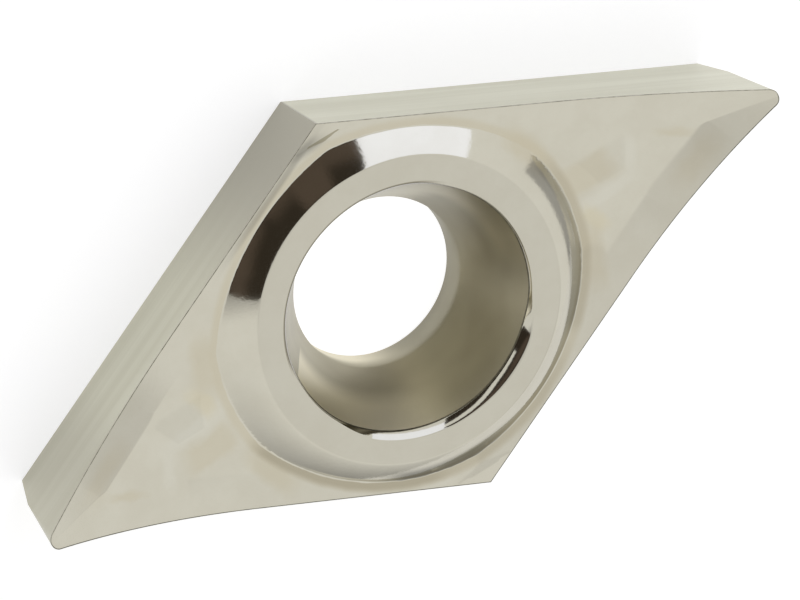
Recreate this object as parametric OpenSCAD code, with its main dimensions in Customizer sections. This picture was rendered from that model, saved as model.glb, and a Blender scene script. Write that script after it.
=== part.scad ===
// Rhombic turning insert with a clamping hole, ground flanks and a moulded chip breaker.
// Origin at the centre of the seat face, +Z out of the rake side, +X along the long diagonal.

/* [Blank] */
// Diameter of the circle that touches the four full-height edge lines
inscribed_d = 6.35; // [6:0.05:7.2]
// Height of the full-height edge lines above the seat
thickness = 2.38; // [2.3:0.01:2.7]
// Angle between the two edges of each cutting corner
corner_angle = 55; // [50:1:60]
// Lean of the flanks under the cutting edges
clearance_angle = 7; // [5:1:9]
// Radius of the cutting corners at full height
nose_r = 0.2; // [0.1:0.05:0.3]
// Radius at which the narrowing corner rounding runs out
nose_end_r = 0.015; // [0.01:0.005:0.03]

/* [Cutting edge] */
// Drop of the straight middle stretch of each edge below full height
edge_drop = 0.71; // [0.64:0.01:0.76]
// Length along an edge over which it climbs to its cutting corner
climb_run = 3.8; // [3.4:0.1:4]
// Radius of the climbing arc
edge_arc_r = 11.2; // [9:0.1:14]

/* [Rake] */
// Width of the rake band beside the straight stretch
band_w = 0.6; // [0.5:0.05:0.7]
// Slope of the rake band beside the straight stretch
band_low_angle = 10; // [8:1:12]
// Steepest slope of the rake band, behind the corner
band_nose_angle = 24; // [22:1:30]
// Distance between the sections of the rake band along its climb
band_step = 0.2; // [0.1:0.05:0.4]
// Distance from the tip of each cutting corner at which the floor starts to rise towards it
ramp_run = 2.4; // [2:0.05:2.6]
// Slope of the rising floor
ramp_angle = 6.5; // [4:0.5:8]

/* [Clamping hole] */
// Diameter of the bore
bore_d = 2.8; // [2.4:0.05:3]
// Diameter of the countersink at the rim
rim_d = 4.02; // [3.8:0.02:4.2]
// Full angle of the countersink
countersink_angle = 56; // [50:1:60]

/* [Ring boss] */
// Height of the boss above the straight stretch of the edges
boss_rise = 0.215; // [0.12:0.005:0.3]
// Diameter of the flat top of the boss at its outer crest
crest_d = 5.02; // [4.9:0.01:5.2]
// Slope of the outer side of the boss
boss_slope = 35; // [32:1:45]
// Radius of the rolled edge between the top and the countersink
rim_round_r = 0.3; // [0.15:0.01:0.32]
// Slope that the rolled edge has reached at the rim
rim_round_angle = 60; // [50:1:70]
// Radius of the outer crest
crest_round_r = 0.08; // [0.03:0.01:0.12]
// Depth of the groove round the foot of the boss, below the floor
groove_depth = 0.06; // [0.03:0.01:0.08]
// Section radius of the groove
groove_r = 1.2; // [0.8:0.1:1.6]

/* [Chip deflector] */
// Distance from the end of the ridge to the tip of the cutting corner
deflector_setback = 2.54; // [2.3:0.02:2.8]
// Height of the ridge above the floor
deflector_h = 0.07; // [0.04:0.01:0.1]
// Width of the deflector at the floor
deflector_w = 1.06; // [0.8:0.02:1.2]
// Slope of the end that faces the cutting corner
deflector_end_angle = 15; // [12:1:25]

/* [Blunt corners] */
// Length of the flat at each blunt corner, along the short diagonal
corner_flat_l = 0.26; // [0.18:0.01:0.3]
// Drop of that flat below the straight stretch of the edges
corner_flat_drop = 0.006; // [0.004:0.001:0.01]
// Slope of the step from that flat down to the rake bands
corner_step_angle = 25; // [20:1:45]

/* [Hidden] */
$fn = 96;
half_angle = corner_angle / 2;
edge_sin = sin(half_angle);
edge_cos = cos(half_angle);
lean = tan(clearance_angle);
inscribed_r = inscribed_d / 2;
// Size of the blocks that cut the blank, and how far cutters and fillers run past a face
reach = inscribed_d * 3;
overlap = 0.2;

// Centre of a corner's rounding, and the height at which it runs out
nose_x = (inscribed_r - nose_r) / edge_sin;
nose_end_z = thickness - (nose_r - nose_end_r) / lean;
rounding_lean = atan(lean * edge_sin);

// Floor between the rake bands, the bottom of its groove, and a level well inside the body
edge_low_z = thickness - edge_drop;
floor_z = edge_low_z - band_w * tan(band_low_angle);
groove_z = floor_z - groove_depth;
core_z = floor_z / 2;
// The bands run on below the floor until they are under the groove as well
band_end_z = groove_z - groove_depth / 2;
ramp_x = nose_x + nose_r - ramp_run;

// Stretch of one edge, from past the blunt corner to past the cutting corner
edge_from = -inscribed_r * edge_sin / edge_cos - overlap;
edge_corner = inscribed_r * edge_cos / edge_sin;
edge_to = edge_corner + overlap;
edge_climb_start = edge_corner - climb_run;
climb_steps = ceil((edge_to - edge_climb_start) / band_step);
climb_step = (edge_to - edge_climb_start) / climb_steps;

boss_z = edge_low_z + boss_rise;
crest_r = crest_d / 2;
rim_r = rim_d / 2;
bore_r = bore_d / 2;
sink_half = countersink_angle / 2;

// The rim is where the rolled edge has turned down by its slope
rim_flat_r = rim_r + rim_round_r * sin(rim_round_angle);
rim_z = boss_z - rim_round_r * (1 - cos(rim_round_angle));
sink_z = rim_z - (rim_r - bore_r) / tan(sink_half);

// The groove is deepest where the side of the boss runs into it
groove_mid_r = crest_r + (boss_z - groove_z) / tan(boss_slope);
foot_r = crest_r + (boss_z - core_z) / tan(boss_slope);
// Number of straight steps round the crest
crest_steps = 4;

ridge_end_x = nose_x + nose_r - deflector_setback;

// Arc that bounds the flat of a blunt corner, at the height of the flat
corner_flat_r = edge_w(edge_low_z) / edge_cos - corner_flat_l;
corner_flat_z = edge_low_z - corner_flat_drop;

// Height of the cutting edge at a distance along the edge from its middle
function edge_z(s) =
    let (climb = max(0, s - edge_climb_start))
    edge_low_z + edge_arc_r - sqrt(edge_arc_r * edge_arc_r - climb * climb);

// Distance of the cutting edge from the centre, where the flank has that height
function edge_w(z) = inscribed_r - (thickness - z) * lean;

// Height of the floor at a distance along the long diagonal
function floor_at(x) = floor_z + max(0, x - ramp_x) * tan(ramp_angle);

// Slope of the rake band: it keeps its width until it reaches the steepest slope
function band_tan(s) =
    let (foot_x = s * edge_cos + (inscribed_r - band_w) * edge_sin)
    min(tan(band_nose_angle), (edge_z(s) - floor_at(foot_x)) / band_w);

// Section of a rake band square to the edge: distance from the centre, and height
function band_section(s) =
    let (z = edge_z(s), w = edge_w(z), t = band_tan(s), outer_w = inscribed_r + overlap)
    [
        [outer_w, core_z],
        [outer_w, z + (outer_w - w) * t],
        [w - (z - band_end_z) / t, band_end_z],
        [w - (z - band_end_z) / t, core_z],
    ];

// Skin over a row of sections that have the same number of points
module loft(rows) {
    count = len(rows[0]);
    last = (len(rows) - 1) * count;
    points = [for (row = rows) each row];
    sides = [
        for (i = [0 : len(rows) - 2], j = [0 : count - 1])
            let (a = i * count + j, b = i * count + (j + 1) % count)
            each [[a, b + count, b], [a, a + count, b + count]]
    ];
    first_cap = [for (j = [0 : count - 1]) j];
    last_cap = [for (j = [count - 1 : -1 : 0]) last + j];
    polyhedron(points, concat(sides, [first_cap, last_cap]));
}

// Material under the rake band of the edge that runs along +X on the +Y side
module rake_band() {
    stations = concat(
        [edge_from],
        [for (i = [0 : climb_steps]) edge_climb_start + i * climb_step]
    );
    loft([for (s = stations) [for (p = band_section(s)) [s, p[0], p[1]]]]);
}

// One copy for each of the four edges, the X axis turned along the edge to its cutting corner
module on_edges() {
    for (side = [0, 1], turn = [0, 180])
        rotate([0, 0, turn])
            mirror([0, side, 0])
                rotate([0, 0, -half_angle])
                    children();
}

// Everything inside one flank plane
module inside_flank() {
    translate([0, inscribed_r, thickness])
        rotate([-clearance_angle, 0, 0])
            translate([-reach, -reach, -reach])
                cube([2 * reach, reach, 2 * reach]);
}

// Space beyond the two lines where a corner's rounding leaves the flanks
module beyond_rounding() {
    translate([nose_x + nose_r * edge_sin, 0, thickness])
        rotate([0, rounding_lean, 0])
            translate([0, -reach / 2, (nose_end_z - thickness) / cos(rounding_lean)])
                cube([reach, reach, reach]);
}

// Rounding of a corner: a cone that touches both flanks and narrows as they close in
module corner_rounding() {
    start_z = nose_end_z - overlap * lean;
    translate([nose_x, 0, start_z])
        cylinder(h = thickness - start_z, r1 = nose_r - (thickness - start_z) * lean, r2 = nose_r);
}

// Ground outline with its leaning flanks and rounded cutting corners
module blank() {
    difference() {
        intersection() {
            translate([-reach / 2, -reach / 2, 0])
                cube([reach, reach, thickness]);
            intersection_for (side = [0, 1])
                mirror([0, side, 0])
                    rotate([0, 0, -half_angle])
                        inside_flank();
            intersection_for (side = [0, 1])
                mirror([0, side, 0])
                    rotate([0, 0, 180 - half_angle])
                        inside_flank();
        }
        for (turn = [0, 180])
            rotate([0, 0, turn])
                difference() {
                    beyond_rounding();
                    corner_rounding();
                }
    }
}

// Part of the floor that rises towards a cutting corner
module floor_ramp() {
    rotate([90, 0, 0])
        linear_extrude(height = reach, center = true)
            polygon([[ramp_x, 0], [reach, 0], [reach, floor_at(reach)], [ramp_x, floor_z]]);
}

// Floor between the bands with its ramps and ridges, and the groove round the foot of the boss
module rake_floor() {
    difference() {
        union() {
            translate([-reach / 2, -reach / 2, 0])
                cube([reach, reach, floor_z]);
            for (turn = [0, 180])
                rotate([0, 0, turn]) {
                    floor_ramp();
                    deflector();
                }
        }
        rotate_extrude()
            translate([groove_mid_r, groove_z + groove_r])
                circle(r = groove_r);
    }
}

// Half section of the boss, with its rolled rim and rounded crest
module boss_profile() {
    crest_mid = [crest_r - crest_round_r * tan(boss_slope / 2), boss_z - crest_round_r];
    crest = [
        for (i = [crest_steps : -1 : 0])
            let (a = boss_slope * i / crest_steps)
            crest_mid + crest_round_r * [sin(a), cos(a)]
    ];
    difference() {
        polygon(concat([[0, 0], [foot_r, 0], [foot_r, core_z]], crest, [[0, boss_z]]));
        difference() {
            translate([0, boss_z - rim_round_r])
                square([rim_flat_r, 2 * rim_round_r]);
            translate([rim_flat_r, boss_z - rim_round_r])
                circle(r = rim_round_r);
        }
    }
}

// Low ridge on the long diagonal that meets the chip behind the corner
module deflector() {
    half_w = deflector_w / 2;
    ridge_z = floor_z + deflector_h;
    end_run = deflector_h / tan(deflector_end_angle);
    intersection() {
        rotate([90, 0, 90])
            linear_extrude(height = reach)
                polygon([[-half_w, 0], [half_w, 0], [half_w, floor_z], [0, ridge_z], [-half_w, floor_z]]);
        rotate([90, 0, 0])
            linear_extrude(height = reach, center = true)
                polygon([
                    [crest_r, 0],
                    [ridge_end_x + end_run, 0],
                    [ridge_end_x + end_run, floor_z],
                    [ridge_end_x - end_run, ridge_z + deflector_h],
                    [crest_r, ridge_z + deflector_h],
                ]);
    }
}

// Flat left outside the dish at a blunt corner, with a sloping step down to the rake bands
module corner_flat() {
    half_w = corner_flat_r * edge_sin;
    step_run = (corner_flat_z - core_z) / tan(corner_step_angle);
    difference() {
        translate([-half_w, 0, 0])
            cube([2 * half_w, reach / 2, corner_flat_z]);
        translate([0, 0, core_z])
            cylinder(h = corner_flat_z - core_z, r1 = corner_flat_r - step_run, r2 = corner_flat_r);
    }
}

// Screw hole: a true bore under a countersink
module clamping_hole() {
    translate([0, 0, -overlap])
        cylinder(h = thickness, r = bore_r);
    translate([0, 0, sink_z])
        cylinder(h = thickness, r1 = bore_r, r2 = bore_r + thickness * tan(sink_half));
}

module insert_body() {
    color("gainsboro")
        difference() {
            intersection() {
                blank();
                union() {
                    rake_floor();
                    on_edges()
                        rake_band();
                    rotate_extrude()
                        boss_profile();
                    for (turn = [0, 180])
                        rotate([0, 0, turn])
                            corner_flat();
                }
            }
            clamping_hole();
        }
}

insert_body();
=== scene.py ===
"""A rhombic carbide turning insert: ground flanks, a polished chip breaker and a sintered screw hole.

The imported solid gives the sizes. Its skin is replaced by one closed mesh that is fine enough for
mirror-like reflections, with the fillets that the solid leaves out. Lengths are millimetres in the
frame of the part, and become metres when the mesh is made.
"""

import bpy
import numpy as np
from mathutils import Matrix, Vector
from mathutils.geometry import delaunay_2d_cdt


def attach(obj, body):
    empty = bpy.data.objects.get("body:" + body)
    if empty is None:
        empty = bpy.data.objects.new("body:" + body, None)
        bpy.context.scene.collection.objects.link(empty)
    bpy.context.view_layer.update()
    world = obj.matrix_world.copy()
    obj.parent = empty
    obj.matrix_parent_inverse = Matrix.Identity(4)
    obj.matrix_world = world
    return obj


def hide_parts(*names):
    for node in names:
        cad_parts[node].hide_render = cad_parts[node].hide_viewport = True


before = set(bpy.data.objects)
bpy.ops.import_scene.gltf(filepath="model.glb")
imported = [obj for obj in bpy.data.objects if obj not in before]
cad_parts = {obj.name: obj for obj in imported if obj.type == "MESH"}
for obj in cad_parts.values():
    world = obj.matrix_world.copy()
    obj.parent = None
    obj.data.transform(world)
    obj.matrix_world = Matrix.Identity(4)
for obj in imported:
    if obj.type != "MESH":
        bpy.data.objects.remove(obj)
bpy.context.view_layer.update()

MM = 0.001

# ---- Sizes that the solid has too ----
INSCRIBED_R = 3.175
THICKNESS = 2.38
HALF_ANGLE = np.radians(27.5)
EDGE_SIN, EDGE_COS = np.sin(HALF_ANGLE), np.cos(HALF_ANGLE)
LEAN = np.tan(np.radians(7))
NOSE_R = 0.2
NOSE_X = (INSCRIBED_R - NOSE_R) / EDGE_SIN
NOSE_APEX_Z = THICKNESS - NOSE_R / LEAN

EDGE_LOW_Z = THICKNESS - 0.71
EDGE_ARC_R = 11.2
CLIMB_START = INSCRIBED_R * EDGE_COS / EDGE_SIN - 3.8
CLIMB_LIMIT = 6.0  # beyond the end of the edge

BAND_W = 0.6
FLOOR_Z = EDGE_LOW_Z - BAND_W * np.tan(np.radians(10))
BAND_NOSE_TAN = np.tan(np.radians(24))
RAMP_X = NOSE_X + NOSE_R - 2.4
RAMP_TAN = np.tan(np.radians(6.5))

BORE_R = 1.4
RIM_R = 2.01
BOSS_Z = EDGE_LOW_Z + 0.215
CREST_R = 2.51
BOSS_TAN = np.tan(np.radians(35))
RIM_Z = BOSS_Z - 0.15
SINK_TAN = np.tan(np.radians(28))
SINK_Z = RIM_Z - (RIM_R - BORE_R) / SINK_TAN
GROOVE_Z = FLOOR_Z - 0.06
GROOVE_R = 1.2
GROOVE_MID_R = CREST_R + (BOSS_Z - GROOVE_Z) / BOSS_TAN

DEFLECTOR_END_X = NOSE_X + NOSE_R - 2.54
DEFLECTOR_H = 0.07
DEFLECTOR_HALF_W = 0.53
DEFLECTOR_END_TAN = np.tan(np.radians(15))
CORNER_FLAT_Z = EDGE_LOW_Z - 0.006
CORNER_FLAT_R = (INSCRIBED_R - (THICKNESS - EDGE_LOW_Z) * LEAN) / EDGE_COS - 0.26
CORNER_STEP_TAN = np.tan(np.radians(25))

# ---- Sizes of the fine skin alone ----
FLOOR_FILLET = 0.012  # where the floor starts to rise, and at the rim of the groove
BAND_FILLET = 0.8 * FLOOR_FILLET
RIDGE_FOOT_FILLET = 0.7 * FLOOR_FILLET
RIDGE_FILLET = 0.6 * FLOOR_FILLET
CREST_FILLET = 0.5 * FLOOR_FILLET
FOOT_FILLET = 0.01
HONE, HONE_LOW = 0.012, 0.02  # rounding of the cutting edges on the +Y side, and on the -Y side
BOTTOM_ROUND = 0.03  # rounding of the bore's lower edge
BOSS_SIDE_TAN = 0.57  # slope of the boss at its crest, and how it steepens towards the foot
BOSS_SIDE_BEND = 0.23
LIP_R = 2.018  # where the hole's wall takes over from the broken rim
LIP_SHARE = 0.022  # upper share of the countersink that has an edge's finish
# The broken rim: where it starts and ends, degrees of slope at shares of its width, its width at
# azimuths round the hole, and its depth at two widths
BREAK_R, BREAK_END_R = 2.008, 2.19
BREAK_SHARE, BREAK_SLOPE = (0, 0.13, 0.33, 0.73, 1), (60, 48, 44.5, 38, 0)
BREAK_TURN = (0, 48, 62, 168, 184, 211, 229, 262, 280, 290, 305, 314, 333, 360)
BREAK_WIDTH = (0.03, 0.03, 0.075, 0.075, 0.03, 0.03, 0.13, 0.135, 0.14, 0.158, 0.172, 0.172, 0.03, 0.03)
BREAK_DEPTH = (0.03, 0.12), (0.1, 0.137)
BREAK_SMOOTHING = 12

# ---- How fine the mesh is ----
GRID = 0.03  # distance between points on the rake side
FIELD_HALF_X, FIELD_HALF_Y = 6.7, 3.6
LIP_END_R, LIP_RINGS, ROLL_RINGS = 2.09, 16, 12
FINE_R, FINE_STEP = 2.75, 0.014  # rings are closer together on the low part of the boss
RING_END_R = 3.02
RING_COLUMNS = 480
FLANK_COLUMNS = 240
NOSE_COLUMNS = 24
HONE_STEPS = 4
UPPER_ROWS = 5
LOWER_ROWS = 4
WALL_STEPS, BOTTOM_STEPS = 9, 6
BREAK_STEPS = 400
SETTLE_ROUNDS = 12
NORMAL_STEP = 0.003
NOWHERE = -9.0  # a height below everything
PLAN_EPSILON, WELD_DIGITS = 1e-7, 6  # how near, in millimetres and in decimals, points are one


# ---- The rake side as one height field ----
def smooth_max(a, b, k):
    """The larger of two heights, with a fillet of about k where they cross."""
    h = np.clip(0.5 + 0.5 * (a - b) / k, 0, 1)
    return b + (a - b) * h + k * h * (1 - h)


def smooth_min(a, b, k):
    return -smooth_max(-a, -b, k)


def edge_height(along):
    """Height of a cutting edge at a distance along it from its middle."""
    climb = np.clip(along - CLIMB_START, 0, CLIMB_LIMIT)
    return EDGE_LOW_Z + EDGE_ARC_R - np.sqrt(EDGE_ARC_R**2 - climb**2)


def band_height(x, y, side_x, side_y):
    """Rake band of one edge. It keeps its width until it reaches its steepest slope."""
    out = side_x * x * EDGE_SIN + side_y * y * EDGE_COS
    along = side_x * x * EDGE_COS - side_y * y * EDGE_SIN
    edge_z = edge_height(along)
    foot_x = along * EDGE_COS + (INSCRIBED_R - BAND_W) * EDGE_SIN
    slope = np.minimum(BAND_NOSE_TAN, (edge_z - FLOOR_Z - np.maximum(foot_x - RAMP_X, 0) * RAMP_TAN) / BAND_W)
    return edge_z - (INSCRIBED_R - (THICKNESS - edge_z) * LEAN - out) * slope


def floor_height(x, y, r):
    """Floor that rises to the corners, low ridges on the long diagonal, and the groove round the boss."""
    side = FLOOR_Z + DEFLECTOR_H * (1 - np.abs(y) / DEFLECTOR_HALF_W)
    end = FLOOR_Z + DEFLECTOR_H + (DEFLECTOR_END_X - np.abs(x)) * DEFLECTOR_END_TAN
    ramp_z = FLOOR_Z + (np.abs(x) - RAMP_X) * RAMP_TAN
    low = smooth_max(np.full_like(r, FLOOR_Z), ramp_z, FLOOR_FILLET)
    ridged = smooth_max(smooth_min(side, end, RIDGE_FILLET), low, RIDGE_FOOT_FILLET)
    depth = GROOVE_R**2 - (r - GROOVE_MID_R) ** 2
    groove = np.where(depth > 0, GROOVE_Z + GROOVE_R - np.sqrt(np.maximum(depth, 0)), -NOWHERE)
    return smooth_min(ridged, groove, FLOOR_FILLET)


def boss_height(r):
    """Flat top, rounded crest and slightly bellied side."""
    past = r - CREST_R
    side = BOSS_Z - past * BOSS_SIDE_TAN - np.maximum(past, 0) ** 2 * BOSS_SIDE_BEND
    return smooth_min(np.full_like(r, BOSS_Z), side, CREST_FILLET)


def broken_rim():
    """Fall from the top of the boss at shares of the break's width, and its width at each degree."""
    shares = np.linspace(0, 1, BREAK_STEPS)
    fall = np.tan(np.radians(np.interp(shares, BREAK_SHARE, BREAK_SLOPE)))
    fall = np.cumsum(fall[::-1])[::-1] - fall[-1]
    turns = np.arange(360)
    width = np.interp(turns, BREAK_TURN, BREAK_WIDTH)
    for _ in range(BREAK_SMOOTHING):
        width = (np.roll(width, 1) + 2 * width + np.roll(width, -1)) / 4
    return shares, fall / fall[0], turns, width


break_shares, break_fall, break_turns, break_width = broken_rim()


def rim_drop(x, y, r):
    """How far the broken rim lies below the top of the boss."""
    turn = np.degrees(np.arctan2(y, x))
    width = np.interp(turn, break_turns, break_width, period=360)
    depth = np.interp(width, *BREAK_DEPTH)
    return depth * np.interp((r - BREAK_R) / width, break_shares, break_fall)


def corner_flat_height(y, r):
    """Flat left outside the dish at the blunt corners."""
    inside_arc = np.clip(CORNER_FLAT_R - r, 0, None)
    return np.where(np.abs(y) > CREST_R, CORNER_FLAT_Z, NOWHERE) - CORNER_STEP_TAN * inside_arc


def rake_height(x, y):
    """Height of the rake side, outside the rim of the hole."""
    r = np.hypot(x, y)
    z = floor_height(x, y, r)
    for side_x in (1, -1):
        for side_y in (1, -1):
            z = smooth_max(z, band_height(x, y, side_x, side_y), BAND_FILLET)
    z = smooth_max(z, corner_flat_height(y, r), CREST_FILLET)
    z = smooth_max(z, boss_height(r), FOOT_FILLET)
    return np.where(r < BREAK_END_R, BOSS_Z - rim_drop(x, y, r), z)


def unit(vectors):
    return vectors / np.linalg.norm(vectors, axis=-1, keepdims=True)


def rake_normal(x, y, step=NORMAL_STEP):
    slope_x = (rake_height(x + step, y) - rake_height(x - step, y)) / (2 * step)
    slope_y = (rake_height(x, y + step) - rake_height(x, y - step)) / (2 * step)
    return unit(np.stack([-slope_x, -slope_y, np.ones_like(slope_x)], -1))


# ---- The mesh, gathered patch by patch: corners with their own normals, welded by place at the end ----
RAKE, FLANK, WALL, SEAT, EDGE = range(5)
patches = {"points": [], "normals": [], "faces": [], "finish": [], "count": 0}


def add_patch(points, normals, faces, finish):
    patches["points"].append(points)
    patches["normals"].append(normals)
    patches["faces"].append(np.asarray(faces) + patches["count"])
    patches["finish"].append(np.full(len(faces), finish))
    patches["count"] += len(points)


def strip_faces(rows, columns):
    """Triangles of a band of rows of points that closes on itself."""
    row, column = np.meshgrid(np.arange(rows - 1), np.arange(columns), indexing="ij")
    a = (row * columns + column).ravel()
    b = (row * columns + (column + 1) % columns).ravel()
    return np.concatenate([np.stack([a, b, b + columns], 1), np.stack([a, b + columns, a + columns], 1)])


def fill_between(outer, inner, loose):
    """Plan points and triangles between two closed loops, through loose points."""
    points = np.concatenate([outer, inner, loose])
    first, last = len(outer), len(outer) + len(inner)
    rim = [(i, i + 1 if i + 1 < last else first) for i in range(first, last)]
    _, _, faces, source, _, _ = delaunay_2d_cdt(
        [Vector(p) for p in points], rim, [list(range(first))], 1, PLAN_EPSILON
    )
    origin = np.array([found[0] for found in source])
    faces = origin[np.array(faces)]
    in_hole = ((faces >= first) & (faces < last)).all(axis=1)
    return points, faces[~in_hole]


# ---- The outline: columns that run down the flanks and the rounded corners ----
def outline_columns():
    """Columns round the part: side along X, side along Y, share of the flank, turn round the nose."""
    shares = np.arange(FLANK_COLUMNS) / FLANK_COLUMNS
    turns = np.linspace(1, -1, NOSE_COLUMNS + 1) * (np.pi / 2 - HALF_ANGLE)
    rows = []
    for side in (1, -1):
        rows += [(side, side, share, np.nan) for share in shares]
        rows += [(side, side, np.nan, turn) for turn in turns]
        rows += [(side, -side, share, np.nan) for share in shares[::-1]]
    return np.array(rows)


columns = outline_columns()
on_flank = np.isnan(columns[:, 3])


def outline_xy(z, inset=0.0):
    """Where the columns are at a height z, moved in square to the outline."""
    side_x, side_y, share, turn = np.nan_to_num(columns).T
    drop = (THICKNESS - z) * LEAN + inset
    out, nose_r = INSCRIBED_R - drop, np.maximum(NOSE_R - drop, 0)
    low = -out * EDGE_SIN / EDGE_COS
    high = np.minimum(NOSE_X * EDGE_COS, out * EDGE_COS / EDGE_SIN)
    along = low + share * (high - low)
    nose_x = np.minimum(NOSE_X, out / EDGE_SIN)
    x = np.where(on_flank, along * EDGE_COS + out * EDGE_SIN, nose_x + nose_r * np.cos(turn))
    y = np.where(on_flank, out * EDGE_COS - along * EDGE_SIN, nose_r * np.sin(turn))
    return np.stack([side_x * x, side_y * y], 1)


def outline_normals():
    side_x, side_y, _, turn = np.nan_to_num(columns).T
    across_x = np.where(on_flank, EDGE_SIN, np.cos(turn))
    across_y = np.where(on_flank, EDGE_COS, np.sin(turn))
    return unit(np.stack([side_x * across_x, side_y * across_y, np.full(len(columns), -LEAN)], 1))


def at_height(xy, z):
    return np.concatenate([xy, np.broadcast_to(z, (len(xy),))[:, None]], 1)


def settle_on_rake(inset=0.0):
    """The outline where it meets the rake side: the height is found by going round a few times."""
    z = np.full(len(columns), EDGE_LOW_Z)
    for _ in range(SETTLE_ROUNDS):
        xy = outline_xy(z, inset)
        z = rake_height(*xy.T)
    return at_height(xy, z)


def build_sides():
    """Honed edge and flanks. Returns the upper and the lower loop in plan."""
    sharp = settle_on_rake()
    hone = np.interp(sharp[:, 1], [-NOSE_R, NOSE_R], [HONE_LOW, HONE])
    upper = settle_on_rake(hone)
    rake_side, flank_side = rake_normal(*upper[:, :2].T), outline_normals()
    under_edge = sharp[:, 2] - hone
    lower = at_height(outline_xy(under_edge), under_edge)
    points, normals = [], []
    for t in np.linspace(0, 1, HONE_STEPS + 1):
        points.append((1 - t) ** 2 * upper + 2 * t * (1 - t) * sharp + t**2 * lower)
        normals.append(unit((1 - t) * rake_side + t * flank_side))
    faces = strip_faces(HONE_STEPS + 1, len(columns))
    add_patch(np.concatenate(points), np.concatenate(normals), faces, EDGE)

    levels = [under_edge + (NOSE_APEX_Z - under_edge) * t for t in np.linspace(0, 1, UPPER_ROWS + 1)]
    levels += [np.full(len(columns), NOSE_APEX_Z * (1 - t)) for t in np.linspace(0, 1, LOWER_ROWS + 1)[1:]]
    rows = [at_height(outline_xy(z), z) for z in levels]
    faces = strip_faces(len(rows), len(columns))
    add_patch(np.concatenate(rows), np.tile(flank_side, (len(rows), 1)), faces, FLANK)
    return upper, rows[-1]


# ---- The round parts ----
def ring_xy(r):
    turn = np.arange(RING_COLUMNS) * 2 * np.pi / RING_COLUMNS
    return np.stack([r * np.cos(turn), -r * np.sin(turn)], 1)


def ring_radii():
    """Radii of the rings over the broken rim and the boss."""
    lip = np.linspace(LIP_R, LIP_END_R, LIP_RINGS)
    roll = np.linspace(LIP_END_R, BREAK_END_R, ROLL_RINGS)[1:]
    side = np.arange(BREAK_END_R + GRID, FINE_R, GRID)
    return np.concatenate([lip, roll, side, np.arange(side[-1] + FINE_STEP, RING_END_R, FINE_STEP)])


def loose_points(radii):
    """Rings over the boss, and an even field of points over the rest."""
    rows = np.arange(-FIELD_HALF_Y, FIELD_HALF_Y, GRID * np.sqrt(3) / 2)
    x, y = np.meshgrid(np.arange(-FIELD_HALF_X, FIELD_HALF_X, GRID), rows)
    x = x + np.where(np.arange(len(rows)) % 2, GRID / 2, 0)[:, None]
    x, y = x.ravel(), y.ravel()
    out = np.abs(x) * EDGE_SIN + np.abs(y) * EDGE_COS
    gap = 0.6 * GRID
    keep = np.hypot(x, y) > radii[-1] + gap
    margin = gap + HONE_LOW
    keep &= out < INSCRIBED_R - (THICKNESS - rake_height(x, y)) * LEAN - margin
    past_nose = np.abs(x) > NOSE_X + np.abs(y) * EDGE_SIN / EDGE_COS
    keep &= ~past_nose | (np.hypot(np.abs(x) - NOSE_X, y) < NOSE_R - margin)
    return np.concatenate([ring_xy(r) for r in radii[1:]] + [np.stack([x[keep], y[keep]], 1)])


def wall_profile():
    """The hole's wall from the lip down: radii, shares of the lip's height, further heights, tilts."""
    steps = np.concatenate([[0, LIP_SHARE], np.linspace(0.1, 1, WALL_STEPS)])
    cone_r = LIP_R + (BORE_R - LIP_R) * steps
    cone_z = SINK_Z * steps
    turn = np.linspace(0, np.pi / 2, BOTTOM_STEPS)
    end_r = BORE_R + BOTTOM_ROUND * (1 - np.cos(turn))
    end_z = BOTTOM_ROUND * (1 - np.sin(turn))
    slope = np.arctan(SINK_TAN)
    tilt = np.concatenate([np.full(len(steps), slope), -turn])
    share = np.concatenate([1 - steps, np.zeros(len(turn))])
    return np.concatenate([cone_r, end_r]), share, np.concatenate([cone_z, end_z]), tilt


def build_insert():
    upper, lower = build_sides()
    radii = ring_radii()
    rim = ring_xy(LIP_R)

    plan, faces = fill_between(upper[:, :2], rim, loose_points(radii))
    z = rake_height(*plan.T)
    z[: len(upper)] = upper[:, 2]
    add_patch(at_height(plan, z), rake_normal(*plan.T), faces, RAKE)

    profile_r, share, profile_z, tilt = wall_profile()
    lip_z = rake_height(*rim.T)
    rings = zip(profile_r, share, profile_z)
    points = np.concatenate([at_height(ring_xy(r), part * lip_z + rest) for r, part, rest in rings])
    normals = np.concatenate([at_height(-ring_xy(1) * np.cos(a), np.sin(a)) for a in tilt])
    wall_faces = strip_faces(len(profile_r), RING_COLUMNS)[:, ::-1]
    add_patch(points, normals, wall_faces, np.where((wall_faces < 2 * RING_COLUMNS).all(axis=1), EDGE, WALL))

    plan, faces = fill_between(lower[:, :2], ring_xy(profile_r[-1]), np.zeros((0, 2)))
    down = np.tile([0.0, 0.0, -1.0], (len(plan), 1))
    add_patch(at_height(plan, 0.0), down, faces[:, ::-1], SEAT)


def weld():
    """One closed mesh: points at one place become one, and each corner of a face keeps its normal."""
    points, normals = np.concatenate(patches["points"]), np.concatenate(patches["normals"])
    faces, finish = np.concatenate(patches["faces"]), np.concatenate(patches["finish"])
    _, first, place = np.unique(np.round(points, WELD_DIGITS), axis=0, return_index=True, return_inverse=True)
    place = place.ravel()
    welded = place[faces]
    whole = (welded[:, 0] != welded[:, 1]) & (welded[:, 1] != welded[:, 2]) & (welded[:, 2] != welded[:, 0])
    mesh = bpy.data.meshes.new("insert")
    mesh.from_pydata((points[first] * MM).tolist(), [], welded[whole].tolist())
    mesh.polygons.foreach_set("material_index", finish[whole].astype(np.int32))
    mesh.polygons.foreach_set("use_smooth", np.ones(len(mesh.polygons), bool))
    mesh.normals_split_custom_set(normals[faces[whole]].reshape(-1, 3).tolist())
    mesh.update()
    return mesh


# ---- Node trees ----
BLACK, WHITE = (0, 0, 0, 1), (1, 1, 1, 1)


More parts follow.
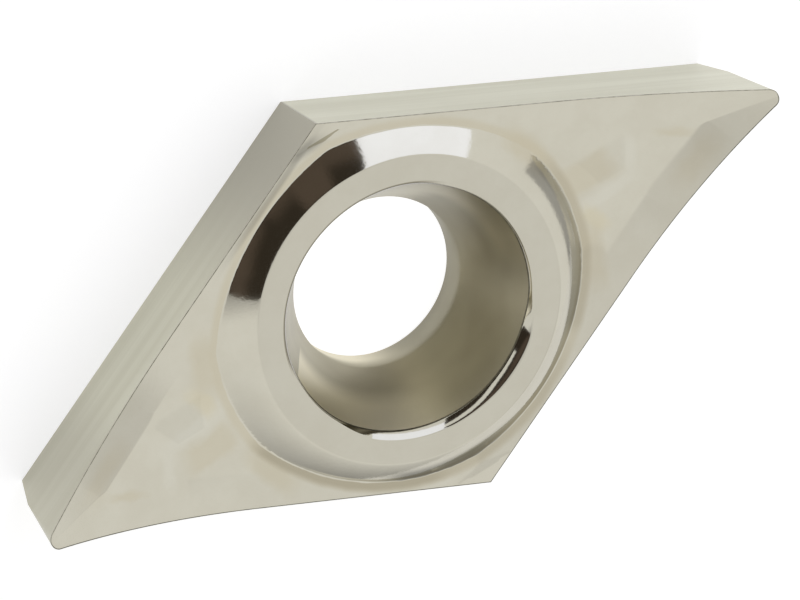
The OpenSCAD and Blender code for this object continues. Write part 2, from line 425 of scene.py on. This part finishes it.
def add_node(tree, kind, inputs=None, **settings):
    """A node with its settings, and values or links for its inputs."""
    node = tree.nodes.new(kind)
    for name, value in settings.items():
        setattr(node, name, value)
    for key, value in (inputs or {}).items():
        if isinstance(value, bpy.types.NodeSocket):
            tree.links.new(value, node.inputs[key])
        else:
            node.inputs[key].default_value = value
    return node


def calculate(tree, operation, *values):
    return add_node(tree, "ShaderNodeMath", dict(enumerate(values)), operation=operation).outputs[0]


def product(tree, first, *rest):
    for value in rest:
        first = calculate(tree, "MULTIPLY", first, value)
    return first


def ramp(tree, value, low, high):
    """0 to 1 as value goes from low to high, smoothly."""
    inputs = {"Value": value, "From Min": low, "From Max": high}
    return add_node(tree, "ShaderNodeMapRange", inputs, interpolation_type="SMOOTHSTEP").outputs[0]


def span(tree, value, start, full, last, end):
    """Grows from 0 at start to 1 at full, stays, and fades from last to 0 at end."""
    return product(tree, ramp(tree, value, start, full), ramp(tree, value, end, last))


def azimuth_of(tree, axes):
    """Degrees from +X towards +Y, from -180 to 180."""
    return calculate(tree, "DEGREES", calculate(tree, "ARCTAN2", axes[1], axes[0]))


def mix_colour(tree, share, a, b):
    node = add_node(tree, "ShaderNodeMix", data_type="RGBA")
    for socket, value in ((node.inputs[0], share), (node.inputs[6], a), (node.inputs[7], b)):
        if isinstance(value, bpy.types.NodeSocket):
            tree.links.new(value, socket)
        else:
            socket.default_value = value
    return node.outputs[2]


def darken(tree, share, colour):
    return mix_colour(tree, share, colour, BLACK)


def noise(tree, place, stretch, detail=3.0, rough=0.5):
    """Noise with features of about 1 / stretch millimetres along each axis."""
    scale = tuple(s / MM for s in stretch)
    moved = add_node(tree, "ShaderNodeMapping", {"Vector": place, "Scale": scale}).outputs[0]
    inputs = {"Vector": moved, "Scale": 1.0, "Detail": detail, "Roughness": rough}
    return add_node(tree, "ShaderNodeTexNoise", inputs).outputs["Fac"]


def bare_tree(owner):
    owner.use_nodes = True
    owner.node_tree.nodes.clear()
    return owner.node_tree


def new_material(name):
    """A metal with nothing set yet: material, tree, shader and place on the object."""
    material = bpy.data.materials.new(name)
    tree = bare_tree(material)
    shader = add_node(tree, "ShaderNodeBsdfPrincipled", {"Metallic": 1.0})
    add_node(tree, "ShaderNodeOutputMaterial", {"Surface": shader.outputs[0]})
    place = add_node(tree, "ShaderNodeTexCoord").outputs["Object"]
    return material, tree, shader, place


def link(tree, shader, **sockets):
    for name, value in sockets.items():
        tree.links.new(value, shader.inputs[name.replace("_", " ")])


def bump(tree, height, distance):
    """Relief of a height in millimetres."""
    inputs = {"Height": height, "Distance": distance * MM, "Strength": 1.0}
    return add_node(tree, "ShaderNodeBump", inputs).outputs[0]


# ---- Finishes ----
POLISHED = (0.585, 0.562, 0.478, 1)
POLISHED_SHADE = (0.562, 0.537, 0.452, 1)
TAN = (0.53, 0.483, 0.365, 1)
# Brown of the painted shade in the crease at the foot of the boss
SHADE_BROWN = (0.40, 0.365, 0.275, 1)
RIM_BROWN = (0.27, 0.245, 0.185, 1)
STRAW = (0.60, 0.55, 0.41, 1)
BRIGHT = (0.62, 0.605, 0.53, 1)
GROUND = (0.70, 0.69, 0.56, 1)
GROUND_SHADE = (0.61, 0.595, 0.465, 1)
# Colour of the painted shade on the left flank
GROUND_PAINTED_SHADE = (0.41, 0.39, 0.315, 1)
# The honed edge's two tones vary at random as nicks, and both are dark as painted shade for the dark line
# along the rounded edges
EDGE_DARK = (0.22, 0.205, 0.16, 1)
EDGE_PALE = (0.42, 0.40, 0.33, 1)
SINTERED = (0.58, 0.545, 0.425, 1)
SINTERED_SHADE = (0.50, 0.465, 0.36, 1)
# Pale colour of the painted light on the hole's wall
SINTERED_LIT = (0.97, 0.91, 0.72, 1)
POLISHED_ROUGH, GROUND_ROUGH, EDGE_ROUGH, SINTERED_ROUGH = 0.075, 0.28, 0.3, 0.3
POLISHED_RELIEF, GROUND_RELIEF, EDGE_RELIEF, SINTERED_RELIEF = 0.0004, 0.0012, 0.004, 0.0012
CLOUDY, STREAKY = (0.3, 0.7), (0.35, 0.65)  # the noise over which two colours of a finish mix

# Heat tints on one half of the rake side, in millimetres: centre, half lengths, turn, softness,
# strength and colour. The other half has them too, turned about the hole
TINTS = [
    ((3.58, 0.32), (0.42, 0.24), 3, 0.4, 0.55, TAN),
    ((3.72, -0.14), (0.5, 0.11), 5, 0.7, 0.5, BRIGHT),
    ((4.32, 0.24), (0.1, 0.26), -18, 0.7, 0.45, BRIGHT),
    ((3.40, -0.44), (0.13, 0.26), 25, 0.6, 0.6, STRAW),
    ((3.13, -0.95), (0.18, 0.5), -18, 0.6, 0.55, TAN),
    ((2.90, 1.20), (0.18, 0.45), 22, 0.6, 0.6, TAN),
    ((5.10, 0.18), (0.28, 0.06), -31, 0.8, 0.5, TAN),
    ((5.25, -0.38), (0.45, 0.18), 27.5, 0.7, 0.45, TAN),
]
TINT_WANDER = 0.16  # how far noise moves their edges
# Tan stain round the foot of the boss, in a band that also carries painted shade: heights over the boss's
# side where it grows and fades, and strength
FOOT_STAIN_AND_SHADE, FOOT_STAIN_AND_SHADE_FADE, FOOT_STAIN_SHARE = (0.008, 0.02), (0.2, 0.07), 0.6
FOOT_WANDER = 0.04
# Darker stretches of it, painted shade in the crease at the foot: azimuths between which they grow, stay and
# fade, and strength
FOOT_SHADE = [((-170, -160, -108, -90), 0.95), ((-105, -90, -60, -40), 0.45), ((-44, -38, 8, 18), 0.5)]
# The boss's side: heights over it where it ends at the foot, and distances past the crest where it starts
SIDE_FOOT, SIDE_CREST = (0.012, 0.004), (0, 0.05)
# Stretches of painted shade on it: the same azimuths, the radii between which they grow, and strength
SIDE_SHADE = [
    ((-126, -113, -92, -68), (2.64, 2.8), 0.58),
    ((-46, -36, -17, -7), (2.7, 2.76), 0.28),
    ((-14, -6, 13, 19), (2.86, 2.93), 0.22),
]
# Stain on the broken rim: azimuths, radii between which it fades, and strength
RIM_STAIN = (46, 66, 164, 180), (2.1, 2.084), 0.9
# Painted shade on the flat top of the boss, inside the crest
BOSS_TOP_SHADE = (2.53, 2.49), 0.08  # on the flat top: radii and strength
# Darker places by the blunt corner at +Y: centre, half lengths, turn
DARKER_CORNER = [((-0.33, 3.2), (0.3, 0.1), 0), ((-1.1, 2.82), (1.0, 0.06), 27.5)]
DARKER_CORNER_SOFT, DARKER_CORNER_SHARE = 0.7, 0.3
# Painted shade on the left flank, for the darker floor that it reflects, by places along X: towards the
# blunt corner, towards the nose, and where it ends
FLANK_SHADE, FLANK_SHADE_CORNER, FLANK_SHADE_NOSE = 0.2, ((-3.2, -0.7), 0.8), ((-4.4, -5.6), 0.35)
FLANK_SHADE_END = (0.05, 0.0)
# The edges on the -Y side are darker, as painted shade for their darker reflection: places along Y where that
# starts, and strength
EDGE_SHADE_ACROSS, EDGE_SHADE_SHARE = (0.1, -0.1), 0.5
# The wall of the hole: painted light from these azimuths and at these heights, and painted shade at others
LIT_AZIMUTH, LIT_TOP, LIT_BOTTOM = (-90, -128), (0.95, 1.35), (0.5, 0.2)
# Painted shade on the wall: azimuths and strength, then azimuths, heights and strength of a lower part
WALL_SHADE, WALL_SHADE_SHARE = (-108, -78, -20, 5), 0.3
WALL_LOW_SHADE, WALL_LOW_SHADE_TOP, WALL_LOW_SHADE_SHARE = (-22, 5, 35, 55), (1.45, 1.1), 0.34


def in_patch(tree, spot, centre, half, angle, soft):
    """1 inside a patch of the rake side, whose long side is turned by an angle."""
    turn = (0, 0, np.radians(angle))
    inputs = {"Vector": spot, "Location": (*centre, 0), "Rotation": turn, "Scale": (*half, 1)}
    inside = add_node(tree, "ShaderNodeMapping", inputs, vector_type="TEXTURE").outputs[0]
    axes = add_node(tree, "ShaderNodeSeparateXYZ", {0: inside}).outputs
    away = [calculate(tree, "ABSOLUTE", axes[i]) for i in (0, 1)]
    return product(tree, *(ramp(tree, distance, 1 + soft, 1 - soft) for distance in away))


def tint(tree, colour, millimetres, shift):
    """The heat tints, alike on both halves, with edges that wander."""
    inputs = {0: shift, 1: (TINT_WANDER, TINT_WANDER, 0), 2: millimetres}
    spot = add_node(tree, "ShaderNodeVectorMath", inputs, operation="MULTIPLY_ADD").outputs[0]
    axes = add_node(tree, "ShaderNodeSeparateXYZ", {0: spot}).outputs
    half = calculate(tree, "SIGN", axes[0])
    turned = {0: calculate(tree, "ABSOLUTE", axes[0]), 1: product(tree, axes[1], half)}
    spot = add_node(tree, "ShaderNodeCombineXYZ", turned).outputs[0]
    for centre, half_lengths, angle, soft, strength, shade in TINTS:
        share = in_patch(tree, spot, centre, half_lengths, angle, soft)
        colour = mix_colour(tree, product(tree, share, strength), colour, shade)
    return colour


def stain_and_shade_boss(tree, colour, millimetres, shift):
    """Stains that polishing left round the foot of the boss and on the broken rim, painted shade at the foot,
    low on its side and on its flat top, and darker places at the blunt corner.
    """
    axes = add_node(tree, "ShaderNodeSeparateXYZ", {0: millimetres}).outputs
    plan = add_node(tree, "ShaderNodeCombineXYZ", {0: axes[0], 1: axes[1]}).outputs[0]
    r = add_node(tree, "ShaderNodeVectorMath", {0: plan}, operation="LENGTH").outputs["Value"]
    azimuth = azimuth_of(tree, axes)
    past = calculate(tree, "SUBTRACT", r, CREST_R)
    drop = product(tree, past, calculate(tree, "MULTIPLY_ADD", past, BOSS_SIDE_BEND, BOSS_SIDE_TAN))
    above = calculate(tree, "SUBTRACT", calculate(tree, "ADD", axes[2], drop), BOSS_Z)
    above = calculate(tree, "SUBTRACT", above, FOOT_WANDER / 2)
    above = calculate(tree, "MULTIPLY_ADD", shift, FOOT_WANDER, above)

    foot = product(tree, ramp(tree, above, *FOOT_STAIN_AND_SHADE), ramp(tree, above, *FOOT_STAIN_AND_SHADE_FADE))
    colour = mix_colour(tree, product(tree, foot, FOOT_STAIN_SHARE), colour, TAN)
    # Painted shade in the crease at the foot of the boss, in stretches round it
    for azimuths, strength in FOOT_SHADE:
        share = product(tree, foot, span(tree, azimuth, *azimuths), strength)
        colour = mix_colour(tree, share, colour, SHADE_BROWN)
    on_side = product(tree, ramp(tree, above, *SIDE_FOOT), ramp(tree, past, *SIDE_CREST))
    # Painted shade low on the boss's side, in stretches round it
    for azimuths, radii, strength in SIDE_SHADE:
        part = product(tree, span(tree, azimuth, *azimuths), ramp(tree, r, *radii))
        colour = darken(tree, product(tree, on_side, part, strength), colour)
    azimuths, radii, strength = RIM_STAIN
    share = product(tree, span(tree, azimuth, *azimuths), ramp(tree, r, *radii), strength)
    colour = mix_colour(tree, share, colour, RIM_BROWN)
    # Painted shade on the flat top inside the crest
    radii, strength = BOSS_TOP_SHADE
    colour = darken(tree, product(tree, ramp(tree, r, *radii), strength), colour)
    for centre, half_lengths, angle in DARKER_CORNER:
        darker_patch = in_patch(tree, plan, centre, half_lengths, angle, DARKER_CORNER_SOFT)
        colour = darken(tree, product(tree, darker_patch, DARKER_CORNER_SHARE), colour)
    return colour


def polished_finish():
    material, tree, shader, place = new_material("polished_rake")
    cloud = noise(tree, place, (1.6, 1.6, 1.6), 5.0, 0.6)
    colour = mix_colour(tree, ramp(tree, cloud, *CLOUDY), POLISHED_SHADE, POLISHED)
    millimetres = add_node(tree, "ShaderNodeMapping", {"Vector": place, "Scale": (1 / MM,) * 3}).outputs[0]
    inputs = {"Vector": millimetres, "Scale": 4.0, "Detail": 2.0}
    shift = add_node(tree, "ShaderNodeTexNoise", inputs).outputs["Color"]
    colour = tint(tree, colour, millimetres, shift)
    colour = stain_and_shade_boss(tree, colour, millimetres, shift)
    grain = noise(tree, place, (18, 18, 18), 2.0)
    link(tree, shader, Base_Color=colour, Normal=bump(tree, grain, POLISHED_RELIEF))
    shader.inputs["Roughness"].default_value = POLISHED_ROUGH
    return material


def ground_colour(tree, place, along, across, down):
    """Fine grinding lines over broad faint streaks."""
    lines = noise(tree, place, (along, across, down), 4.0, 0.6)
    streaks = noise(tree, place, (along * 1.5, across * 1.5, 3), 2.0)
    both = calculate(tree, "MULTIPLY_ADD", streaks, 0.6, calculate(tree, "MULTIPLY", lines, 0.4))
    return lines, mix_colour(tree, ramp(tree, both, *STREAKY), GROUND_SHADE, GROUND)


def millimetre_ramp(tree, value, low, high):
    return ramp(tree, value, low * MM, high * MM)


def ground_finish():
    material, tree, shader, place = new_material("ground_flank")
    lines, colour = ground_colour(tree, place, 0.12, 0.12, 34)
    along = add_node(tree, "ShaderNodeSeparateXYZ", {0: place}).outputs[0]
    # Painted shade on the left flank, for the darker floor that it reflects
    (ends, corner_share), (nose_ends, nose_share) = FLANK_SHADE_CORNER, FLANK_SHADE_NOSE
    near_nose = product(tree, millimetre_ramp(tree, along, *nose_ends), nose_share)
    painted_shade = calculate(tree, "ADD", near_nose, FLANK_SHADE)
    painted_shade = calculate(tree, "MULTIPLY_ADD", millimetre_ramp(tree, along, *ends), corner_share, painted_shade)
    painted_shade = product(tree, painted_shade, millimetre_ramp(tree, along, *FLANK_SHADE_END))
    colour = mix_colour(tree, painted_shade, colour, GROUND_PAINTED_SHADE)
    link(tree, shader, Base_Color=colour, Normal=bump(tree, lines, GROUND_RELIEF))
    shader.inputs["Roughness"].default_value = GROUND_ROUGH
    return material


def edge_finish():
    material, tree, shader, place = new_material("honed_edge")
    nicks = noise(tree, place, (9, 9, 9), 4.0, 0.7)
    # Nicks of two tones, dark as painted shade for the line along the rounded edges
    colour = mix_colour(tree, ramp(tree, nicks, *STREAKY), EDGE_DARK, EDGE_PALE)
    across = add_node(tree, "ShaderNodeSeparateXYZ", {0: place}).outputs[1]
    # Painted shade on the edges of the -Y side
    lower_side_shade = millimetre_ramp(tree, across, *EDGE_SHADE_ACROSS)
    colour = darken(tree, product(tree, lower_side_shade, EDGE_SHADE_SHARE), colour)
    link(tree, shader, Base_Color=colour, Normal=bump(tree, nicks, EDGE_RELIEF))
    shader.inputs["Roughness"].default_value = EDGE_ROUGH
    return material


def sintered_finish():
    material, tree, shader, place = new_material("sintered_wall")
    grain = noise(tree, place, (20, 20, 20), 3.0)
    cloud = noise(tree, place, (0.8, 0.8, 1.4), 2.0)
    colour = mix_colour(tree, ramp(tree, cloud, *CLOUDY), SINTERED_SHADE, SINTERED)
    axes = add_node(tree, "ShaderNodeSeparateXYZ", {0: place}).outputs
    azimuth, height = azimuth_of(tree, axes), axes[2]
    # Painted light on the wall from some azimuths, near its top and its bottom
    ends = [millimetre_ramp(tree, height, *heights) for heights in (LIT_TOP, LIT_BOTTOM)]
    wall_lit = product(tree, ramp(tree, azimuth, *LIT_AZIMUTH), calculate(tree, "MAXIMUM", *ends))
    colour = mix_colour(tree, wall_lit, colour, SINTERED_LIT)
    # Painted shade on one side of the wall, and lower down on another
    shaded = product(tree, span(tree, azimuth, *WALL_SHADE), WALL_SHADE_SHARE)
    low = millimetre_ramp(tree, height, *WALL_LOW_SHADE_TOP)
    low_shaded = product(tree, span(tree, azimuth, *WALL_LOW_SHADE), low)
    painted_shade = calculate(tree, "MULTIPLY_ADD", low_shaded, WALL_LOW_SHADE_SHARE, shaded)
    relief = bump(tree, grain, SINTERED_RELIEF)
    link(tree, shader, Base_Color=darken(tree, painted_shade, colour), Normal=relief)
    shader.inputs["Roughness"].default_value = SINTERED_ROUGH
    return material


def seat_finish():
    material, tree, shader, place = new_material("ground_seat")
    lines, colour = ground_colour(tree, place, 0.12, 34, 34)
    link(tree, shader, Base_Color=colour, Normal=bump(tree, lines, GROUND_RELIEF))
    shader.inputs["Roughness"].default_value = GROUND_ROUGH
    return material


# ---- Studio: a pale floor, a light tent with a dark gap, and a softbox ----
# Angles of the sky are in degrees: azimuth from +X towards +Y, and tilt from straight up. A slanted
# angle is one of the two plus a share of the other
TENT = (1.015, 1.015, 1.005, 1)
TENT_LOW = (0.33, 0.33, 0.33, 1)
SOFTBOX = (1.42, 1.47, 1.68, 1)
GREY_CARD = (0.49, 0.49, 0.49, 1)
DARK_GAP = (0.045, 0.036, 0.027, 1)
GAP_STREAK = (0.115, 0.088, 0.07, 1)

# Where the tent darkens downwards: slant of the tilt, its span, and azimuths between which it starts
LOW_SLANT, LOW_TILT, LOW_AZIMUTH = -0.5, (127.5, 143), (-172, -92)
# Dimmer parts of the tent: azimuth and tilt of the middle, radius, share of light lost
DIM_PARTS = [((110, 15), 40, 0.14), ((300, 66), 18, 0.18), ((165, 26), 20, 0.1)]
CARD_SLANT, CARD_TILT, CARD_AZIMUTH = 0.56, (66.3, 120), (-75, -12.5)
BOX_AZIMUTH_SLANT, BOX_AZIMUTH, BOX_TILT_SLANT, BOX_TILT = -0.3, (-8.5, 46.6), 0.35, (52, 95)
# Shade on the tent beyond the gap: tilt, azimuth, softness, share of light lost
SHADE_TILT, SHADE_AZIMUTH, SHADE_SOFT, SHADE_LOSS = (33, 62), (160, 172), 8, 0.46
# The gap starts at the box's end. Its far end and its top are slanted, and a slit of light crosses it
GAP_END_SLANT, GAP_END, GAP_SOFT = 0.4, 185.6, 0.6
GAP_TOP_SLANT, GAP_TOP, GAP_AZIMUTH = -0.145, (9, 90), (50, 170)
GAP_TILT, GAP_TILT_AZIMUTH = (25, 84), (50, 180)
SLIT_TILT, SLIT_AZIMUTH, SLIT_SOFT = (57, 66), (50, 136), 1
# Lighter parts of the gap: azimuth, tilt, strength
STREAKS = [
    ((80, 104), (28, 52), 1.0),
    ((128, 157), (42, 52), 0.8),
    ((50, 170), (44, 52), 0.9),
    ((58, 80), (41, 48), 0.7),
    ((104, 122), (39, 48), 0.7),
]
STREAK_SOFT = 4

FLOOR_SIZE = 3.0  # metres
FLOOR_PLACE_Z = -0.004  # millimetres: just under the seat
PAPER = (0.5, 0.5, 0.5, 1)
# The floor's own light for the camera, in reflections, and painted light for the camera under the hole, where
# it fades between two radii
GLOW_SEEN, GLOW_REFLECTED, HOLE_PAINTED_LIGHT, HOLE_PAINTED_LIGHT_R = 0.66, 0.58, 0.2, (2.2, 1.6)


def slanted(tree, value, other, slant):
    return calculate(tree, "MULTIPLY_ADD", other, slant, value)


def sky_span(tree, angle, limits, soft):
    low, high = limits
    return span(tree, angle, low - soft, low + soft, high - soft, high + soft)


def sky_patch(tree, angle, limits, other, other_limits, soft=0.7):
    """1 inside a patch of the sky, where two angles lie between their limits."""
    return product(tree, sky_span(tree, angle, limits, soft), sky_span(tree, other, other_limits, soft))


def tent_colour(tree, toward, azimuth, tilt):
    start, end = LOW_TILT
    inputs = {"Value": slanted(tree, tilt, azimuth, LOW_SLANT), "From Min": start, "From Max": end}
    low = add_node(tree, "ShaderNodeMapRange", inputs).outputs[0]
    colour = mix_colour(tree, product(tree, low, ramp(tree, azimuth, *LOW_AZIMUTH)), TENT, TENT_LOW)
    for middle, radius, loss in DIM_PARTS:
        a, t = np.radians(middle)
        inputs = {0: toward, 1: (np.sin(t) * np.cos(a), np.sin(t) * np.sin(a), np.cos(t))}
        near = add_node(tree, "ShaderNodeVectorMath", inputs, operation="DOT_PRODUCT").outputs["Value"]
        share = product(tree, ramp(tree, near, np.cos(np.radians(radius)), 1), loss)
        colour = darken(tree, share, colour)
    return colour


def gap_share(tree, azimuth, tilt, box_end):
    """1 inside the dark gap of the tent."""
    starts = BOX_AZIMUTH[1]
    rise = ramp(tree, box_end, starts - GAP_SOFT, starts + GAP_SOFT)
    far = slanted(tree, azimuth, tilt, GAP_END_SLANT)
    fall = ramp(tree, far, GAP_END + GAP_SOFT, GAP_END - GAP_SOFT)
    top = slanted(tree, tilt, azimuth, GAP_TOP_SLANT)
    shape = sky_patch(tree, top, GAP_TOP, azimuth, GAP_AZIMUTH)
    slit = sky_patch(tree, tilt, SLIT_TILT, azimuth, SLIT_AZIMUTH, SLIT_SOFT)
    around = sky_patch(tree, tilt, GAP_TILT, azimuth, GAP_TILT_AZIMUTH)
    return product(tree, rise, fall, shape, calculate(tree, "SUBTRACT", 1, slit), around)


def gap_colour(tree, azimuth, tilt):
    colour = DARK_GAP
    for azimuths, tilts, strength in STREAKS:
        streak = sky_patch(tree, azimuth, azimuths, tilt, tilts, STREAK_SOFT)
        colour = mix_colour(tree, product(tree, streak, strength), colour, GAP_STREAK)
    return colour


def build_world():
    world = bpy.data.worlds.new("tent")
    bpy.context.scene.world = world
    tree = bare_tree(world)
    toward = add_node(tree, "ShaderNodeTexCoord").outputs["Generated"]
    axes = add_node(tree, "ShaderNodeSeparateXYZ", {0: toward}).outputs
    azimuth = azimuth_of(tree, axes)
    tilt = calculate(tree, "DEGREES", calculate(tree, "ARCCOSINE", axes[2]))
    colour = tent_colour(tree, toward, azimuth, tilt)
    card = sky_patch(tree, slanted(tree, tilt, azimuth, CARD_SLANT), CARD_TILT, azimuth, CARD_AZIMUTH)
    colour = mix_colour(tree, card, colour, GREY_CARD)
    box_end = slanted(tree, azimuth, tilt, BOX_AZIMUTH_SLANT)
    box = sky_patch(tree, box_end, BOX_AZIMUTH, slanted(tree, tilt, azimuth, BOX_TILT_SLANT), BOX_TILT)
    colour = mix_colour(tree, box, colour, SOFTBOX)
    shade = sky_patch(tree, tilt, SHADE_TILT, azimuth, SHADE_AZIMUTH, SHADE_SOFT)
    colour = darken(tree, product(tree, shade, SHADE_LOSS), colour)
    share = gap_share(tree, azimuth, tilt, box_end)
    colour = mix_colour(tree, share, colour, gap_colour(tree, azimuth, tilt))
    seen = add_node(tree, "ShaderNodeLightPath").outputs["Is Camera Ray"]
    inputs = {"Color": mix_colour(tree, seen, colour, WHITE), "Strength": 1.0}
    background = add_node(tree, "ShaderNodeBackground", inputs)
    add_node(tree, "ShaderNodeOutputWorld", {"Surface": background.outputs[0]})


def add_object(name, data):
    made = bpy.data.objects.new(name, data)
    bpy.context.scene.collection.objects.link(made)
    return made


def paper_finish():
    """Paper that is white to the camera and in reflections, and keeps the object's shadow, with painted light
    under the hole for the camera.
    """
    material = bpy.data.materials.new("paper")
    tree = bare_tree(material)
    paper = add_node(tree, "ShaderNodeBsdfDiffuse", {"Color": PAPER})
    path = add_node(tree, "ShaderNodeLightPath").outputs
    camera = path["Is Camera Ray"]
    reflected = calculate(tree, "MAXIMUM", path["Is Glossy Ray"], path["Is Transmission Ray"])
    seen = calculate(tree, "MULTIPLY_ADD", camera, GLOW_SEEN, product(tree, reflected, GLOW_REFLECTED))
    place = add_node(tree, "ShaderNodeTexCoord").outputs["Object"]
    away = add_node(tree, "ShaderNodeVectorMath", {0: place}, operation="LENGTH").outputs["Value"]
    # Painted light under the hole, seen by the camera only
    lit = product(tree, millimetre_ramp(tree, away, *HOLE_PAINTED_LIGHT_R), product(tree, camera, HOLE_PAINTED_LIGHT))
    inputs = {"Color": WHITE, "Strength": calculate(tree, "ADD", seen, lit)}
    glow = add_node(tree, "ShaderNodeEmission", inputs)
    both = add_node(tree, "ShaderNodeAddShader", {0: paper.outputs[0], 1: glow.outputs[0]})
    add_node(tree, "ShaderNodeOutputMaterial", {"Surface": both.outputs[0]})
    return material


def build_floor():
    half, z = FLOOR_SIZE / 2, FLOOR_PLACE_Z * MM
    corners = [(-half, -half, z), (half, -half, z), (half, half, z), (-half, half, z)]
    mesh = bpy.data.meshes.new("floor")
    mesh.from_pydata(corners, [], [(0, 1, 2, 3)])
    mesh.materials.append(paper_finish())
    floor = add_object("floor", mesh)


def build_camera():
    """The camera that the photograph was taken with, found from the corners and the rim."""
    right = Vector((0.8366, -0.3854, 0.3894))
    down = Vector((-0.5177, -0.7885, 0.3319))
    ahead = Vector((0.1792, -0.4793, -0.8592))
    place = Vector((-20.943, 56.080, 101.964)) * MM
    camera = add_object("camera", bpy.data.cameras.new("camera"))
    turn = Matrix((right, -down, -ahead)).transposed()
    camera.matrix_world = Matrix.Translation(place) @ turn.to_4x4()
    camera.data.sensor_width = 36
    camera.data.lens = 343.69
    camera.data.clip_start = 0.001
    camera.data.clip_end = 10
    bpy.context.scene.camera = camera


build_insert()
insert = add_object("insert", weld())
for finish in (polished_finish, ground_finish, sintered_finish, seat_finish, edge_finish):
    insert.data.materials.append(finish())
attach(insert, "root")
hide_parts("insert_body")

build_world()
build_floor()
build_camera()
bpy.context.scene.view_settings.view_transform = "Standard"
